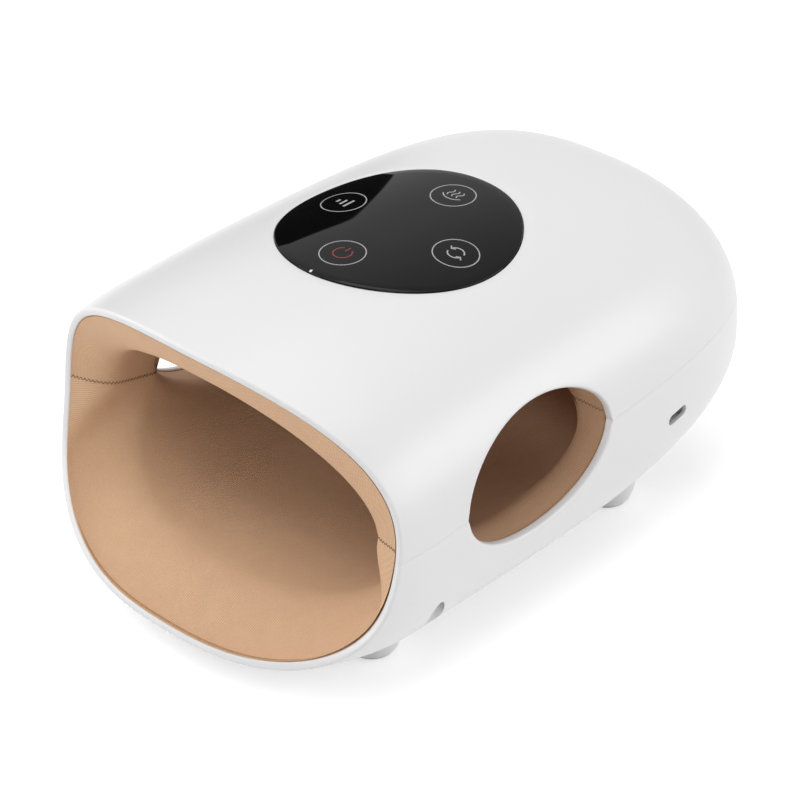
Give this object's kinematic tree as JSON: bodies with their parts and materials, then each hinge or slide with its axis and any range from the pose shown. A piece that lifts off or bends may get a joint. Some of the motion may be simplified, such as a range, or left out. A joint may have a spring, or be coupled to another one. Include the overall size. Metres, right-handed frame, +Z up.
{
  "type": "cordless hand massager",
  "caption": "Free-standing hand massager: gloss housing round a fabric-lined hand pocket, thumb holes, touch panel on top and feet below.",
  "frame": {"origin": "centre of the bounding box's base, on the surface that the massager stands on", "axes": "+Y runs from the mouth to the closed tail, +Z is up, +X is to the right as one looks into the mouth"},
  "size_m": [0.1496, 0.2151, 0.1087],
  "materials": {
    "upper_housing": "gloss white moulding",
    "lower_housing": "gloss white moulding",
    "foot_pad_front_left": "soft matte",
    "foot_pad_front_right": "soft matte",
    "foot_pad_rear_left": "soft matte",
    "foot_pad_rear_right": "soft matte",
    "housing_screw_front_left": "zinc plated",
    "housing_screw_front_right": "zinc plated",
    "housing_screw_rear_left": "zinc plated",
    "housing_screw_rear_right": "zinc plated",
    "control_panel": "gloss black lens",
    "touch_board": "green solder mask",
    "key_foam_level": "soft matte",
    "key_foam_heat": "soft matte",
    "key_foam_power": "soft matte",
    "key_foam_mode": "soft matte",
    "upper_frame": "undyed moulding",
    "lower_frame": "undyed moulding",
    "lining_upper": "fine ribbed tan knit",
    "lining_lower": "fine ribbed tan knit",
    "air_bag_upper": "satin air-tight film",
    "heating_film": "printed heating film",
    "air_bag_lower": "satin air-tight film",
    "battery_tray": "matte black",
    "battery_cell_1": "blue shrink wrap",
    "battery_cell_2": "blue shrink wrap",
    "pump_cushion": "soft matte",
    "motor_can": "zinc plated",
    "motor_shaft": "bright steel",
    "eccentric": "matte black",
    "pump_base": "undyed moulding",
    "pump_rocker": "matte black",
    "pump_diaphragm": "soft matte",
    "pump_cover": "undyed moulding",
    "air_manifold": "undyed moulding",
    "valve_yoke_upper": "zinc plated",
    "valve_coil_upper": "enamelled copper wire",
    "valve_plunger_upper": "bright steel",
    "valve_spring_upper": "bright steel",
    "valve_yoke_lower": "zinc plated",
    "valve_coil_lower": "enamelled copper wire",
    "valve_plunger_lower": "bright steel",
    "valve_spring_lower": "bright steel",
    "hose_supply": "milky silicone",
    "hose_upper": "milky silicone",
    "hose_lower": "milky silicone",
    "main_board": "green solder mask",
    "buzzer": "matte black",
    "charging_socket": "bright steel",
    "charging_board": "green solder mask",
    "touch_lead": "matte black",
    "motor_cap": "matte black"
  },
  "bodies": {
    "housing": {"upper_housing": "upper_housing", "lower_housing": "lower_housing", "foot_pad_front_left": "foot_pad_front_left", "foot_pad_front_right": "foot_pad_front_right", "foot_pad_rear_left": "foot_pad_rear_left", "foot_pad_rear_right": "foot_pad_rear_right", "housing_screw_front_left": "housing_screw_front_left", "housing_screw_front_right": "housing_screw_front_right", "housing_screw_rear_left": "housing_screw_rear_left", "housing_screw_rear_right": "housing_screw_rear_right", "control_panel": "control_panel", "touch_board": "touch_board", "key_foam_level": "key_foam_level", "key_foam_heat": "key_foam_heat", "key_foam_power": "key_foam_power", "key_foam_mode": "key_foam_mode", "upper_frame": "upper_frame", "lower_frame": "lower_frame", "lining_upper": "lining_upper", "lining_lower": "lining_lower", "air_bag_upper": "air_bag_upper", "heating_film": "heating_film", "air_bag_lower": "air_bag_lower", "battery_tray": "battery_tray", "battery_cell_1": "battery_cell_1", "battery_cell_2": "battery_cell_2", "pump_cushion": "pump_cushion", "motor_can": "motor_can", "pump_base": "pump_base", "pump_rocker": "pump_rocker", "pump_diaphragm": "pump_diaphragm", "pump_cover": "pump_cover", "air_manifold": "air_manifold", "valve_yoke_upper": "valve_yoke_upper", "valve_coil_upper": "valve_coil_upper", "valve_spring_upper": "valve_spring_upper", "valve_yoke_lower": "valve_yoke_lower", "valve_coil_lower": "valve_coil_lower", "valve_spring_lower": "valve_spring_lower", "hose_supply": "hose_supply", "hose_upper": "hose_upper", "hose_lower": "hose_lower", "main_board": "main_board", "buzzer": "buzzer", "charging_socket": "charging_socket", "charging_board": "charging_board", "touch_lead": "touch_lead", "motor_cap": "motor_cap"},
    "pump_rotor": {"motor_shaft": "motor_shaft", "eccentric": "eccentric"},
    "upper_plunger": {"valve_plunger_upper": "valve_plunger_upper"},
    "lower_plunger": {"valve_plunger_lower": "valve_plunger_lower"}
  },
  "joints": [
    {"name": "pump_spin", "type": "hinge", "parent": "housing", "child": "pump_rotor", "pos_m": [-0.015, 0.072, 0.0705], "axis": [1, 0, 0], "continuous": true},
    {"name": "upper_valve_slide", "type": "slide", "parent": "housing", "child": "upper_plunger", "axis": [0, 0, 1], "range_m": [0, 0.001], "stiffness_N_per_m": 250, "springref_m": -0.002, "deforming": ["valve_spring_upper"]},
    {"name": "lower_valve_slide", "type": "slide", "parent": "housing", "child": "lower_plunger", "axis": [0, 0, 1], "range_m": [0, 0.001], "stiffness_N_per_m": 250, "springref_m": -0.002, "deforming": ["valve_spring_lower"]}
  ]
}
